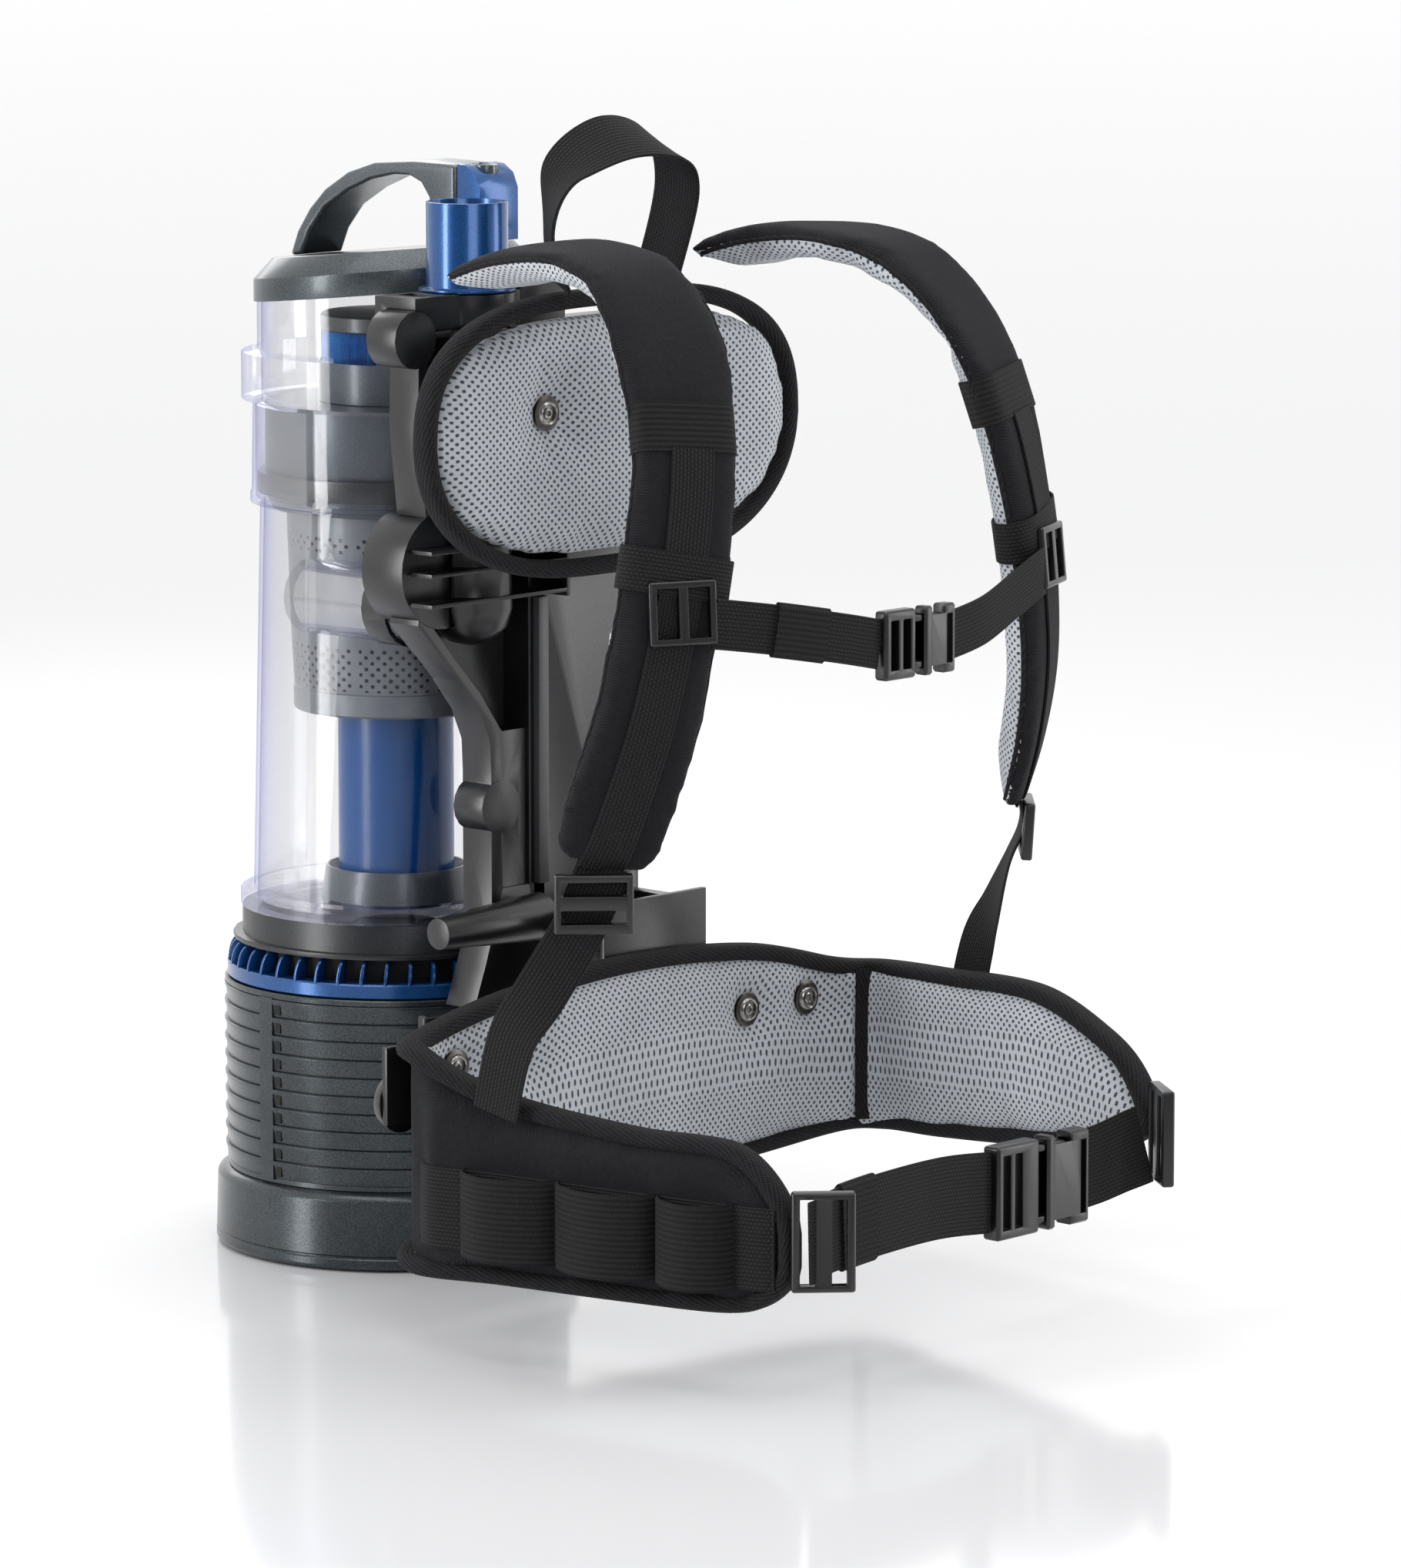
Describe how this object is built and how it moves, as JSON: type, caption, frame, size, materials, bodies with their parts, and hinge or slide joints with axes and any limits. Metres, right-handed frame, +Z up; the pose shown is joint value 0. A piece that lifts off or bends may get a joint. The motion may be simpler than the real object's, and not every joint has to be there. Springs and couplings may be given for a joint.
{
  "type": "backpack vacuum cleaner",
  "caption": "Upright canister vacuum with a clear cyclone bin, carried on the back by a frame with padded shoulder straps, chest strap and waist belt.",
  "frame": {"origin": "centre of the base underside, on the canister axis, at the floor", "axes": "+Z up along the canister, -Y towards the wearer, -X the wearer's right side with the hose inlet"},
  "size_m": [0.4517, 0.6437, 0.731],
  "materials": {
    "dark_metallic_plastic": "satin metallic grey, moulded",
    "grey_metallic_plastic": "satin metallic grey",
    "silver_plastic": "satin silver",
    "blue_metallic_plastic": "glossy metallic blue",
    "clear_plastic": "clear polycarbonate",
    "shroud_grey_plastic": "smooth grey",
    "black_plastic": "finely textured black",
    "strip_grey_plastic": "finely textured grey",
    "air_mesh": "grey spacer mesh over foam",
    "black_fabric": "black woven nylon over foam",
    "black_webbing": "black ribbed webbing",
    "steel": "plated",
    "gunmetal_rivet": "dark plated",
    "filter_foam": "open foam",
    "filter_paper": "pleated filter paper",
    "motor_metal": "pressed can"
  },
  "bodies": {
    "machine": {"base_foot": "dark_metallic_plastic", "bin_seat": "dark_metallic_plastic", "foot_bar": "dark_metallic_plastic", "motor_housing": "grey_metallic_plastic", "vent_ring": "blue_metallic_plastic", "hose_inlet_tube": "blue_metallic_plastic", "back_frame": "black_plastic", "suction_duct": "black_plastic", "inlet_elbow": "black_plastic", "inlet_block": "black_plastic", "cross_tube": "black_plastic", "upper_carrier": "black_plastic", "lumbar_carrier": "black_plastic", "strap_adjuster_right": "black_plastic", "strap_adjuster_left": "black_plastic", "chest_buckle_male": "black_plastic", "chest_buckle_female": "black_plastic", "chest_slider_right": "black_plastic", "chest_slider_left": "black_plastic", "waist_buckle_male": "black_plastic", "waist_buckle_female": "black_plastic", "waist_lock_right": "black_plastic", "waist_lock_left": "black_plastic", "spine_strip": "strip_grey_plastic", "upper_pad": "air_mesh", "shoulder_strap_right": "black_fabric", "shoulder_strap_left": "black_fabric", "waist_belt": "black_fabric", "carry_loop": "black_webbing", "lower_webbing_right": "black_webbing", "lower_webbing_left": "black_webbing", "chest_strap_right": "black_webbing", "chest_strap_left": "black_webbing", "waist_strap_right": "black_webbing", "waist_strap_left": "black_webbing", "tool_loops": "black_webbing", "tab_screw": "steel", "pad_rivets": "gunmetal_rivet", "belt_rivets_right": "gunmetal_rivet", "belt_rivets_left": "gunmetal_rivet", "exhaust_filter": "filter_foam", "motor_can": "motor_metal"},
    "rotor": {"impeller": "steel"},
    "bin_assembly": {"dust_bin": "clear_plastic", "centre_tube": "blue_metallic_plastic", "shroud": "shroud_grey_plastic", "cyclone_body": "shroud_grey_plastic", "upper_housing": "clear_plastic", "pleated_filter": "filter_paper"},
    "lid_assembly": {"lid": "grey_metallic_plastic", "handle": "silver_plastic", "handle_block": "blue_metallic_plastic"},
    "button": {"thumb_button": "blue_metallic_plastic"},
    "latch": {"latch_tongue": "black_plastic"},
    "chest_prong_a": {"chest_prong_upper": "black_plastic"},
    "chest_prong_b": {"chest_prong_lower": "black_plastic"},
    "waist_prong_a": {"waist_prong_upper": "black_plastic"},
    "waist_prong_b": {"waist_prong_lower": "black_plastic"},
    "knob_right": {"belt_knob_right": "black_plastic"},
    "knob_left": {"belt_knob_left": "black_plastic"}
  },
  "joints": [
    {"name": "rotor_spin", "type": "hinge", "parent": "machine", "child": "rotor", "pos_m": [0, 0, 0.1], "axis": [0, 0, 1], "continuous": true},
    {"name": "bin_tilt", "type": "hinge", "parent": "machine", "child": "bin_assembly", "pos_m": [0, 0.1, 0.2223], "axis": [-1, 0, 0], "range_deg": [0, 25]},
    {"name": "lid_lift", "type": "slide", "parent": "bin_assembly", "child": "lid_assembly", "axis": [0, 0, 1], "range_m": [0, 0.08]},
    {"name": "button_press", "type": "slide", "parent": "lid_assembly", "child": "button", "axis": [0, 0, -1], "range_m": [0, 0.004], "stiffness_N_per_m": 600, "springref_m": -0.002},
    {"name": "latch_slide", "type": "slide", "parent": "lid_assembly", "child": "latch", "axis": [0, 1, 0], "range_m": [0, 0.006]},
    {"name": "chest_prong_upper_squeeze", "type": "slide", "parent": "machine", "child": "chest_prong_a", "axis": [0, 0, -1], "range_m": [0, 0.002], "stiffness_N_per_m": 600, "springref_m": -0.001},
    {"name": "chest_prong_lower_squeeze", "type": "slide", "parent": "machine", "child": "chest_prong_b", "axis": [0, 0, 1], "range_m": [0, 0.002], "stiffness_N_per_m": 600, "springref_m": -0.001},
    {"name": "waist_prong_upper_squeeze", "type": "slide", "parent": "machine", "child": "waist_prong_a", "axis": [0, 0, -1], "range_m": [0, 0.002], "stiffness_N_per_m": 600, "springref_m": -0.001},
    {"name": "waist_prong_lower_squeeze", "type": "slide", "parent": "machine", "child": "waist_prong_b", "axis": [0, 0, 1], "range_m": [0, 0.002], "stiffness_N_per_m": 600, "springref_m": -0.001},
    {"name": "knob_right_turn", "type": "hinge", "parent": "machine", "child": "knob_right", "pos_m": [-0.188, -0.188, 0.14], "axis": [0, 1, 0], "continuous": true},
    {"name": "knob_left_turn", "type": "hinge", "parent": "machine", "child": "knob_left", "pos_m": [0.188, -0.188, 0.14], "axis": [0, 1, 0], "continuous": true}
  ],
  "couplings": [
    {"joint": "latch_slide", "follows": "button_press", "ratio": 1.45},
    {"joint": "chest_prong_lower_squeeze", "follows": "chest_prong_upper_squeeze", "ratio": 1},
    {"joint": "waist_prong_lower_squeeze", "follows": "waist_prong_upper_squeeze", "ratio": 1}
  ]
}
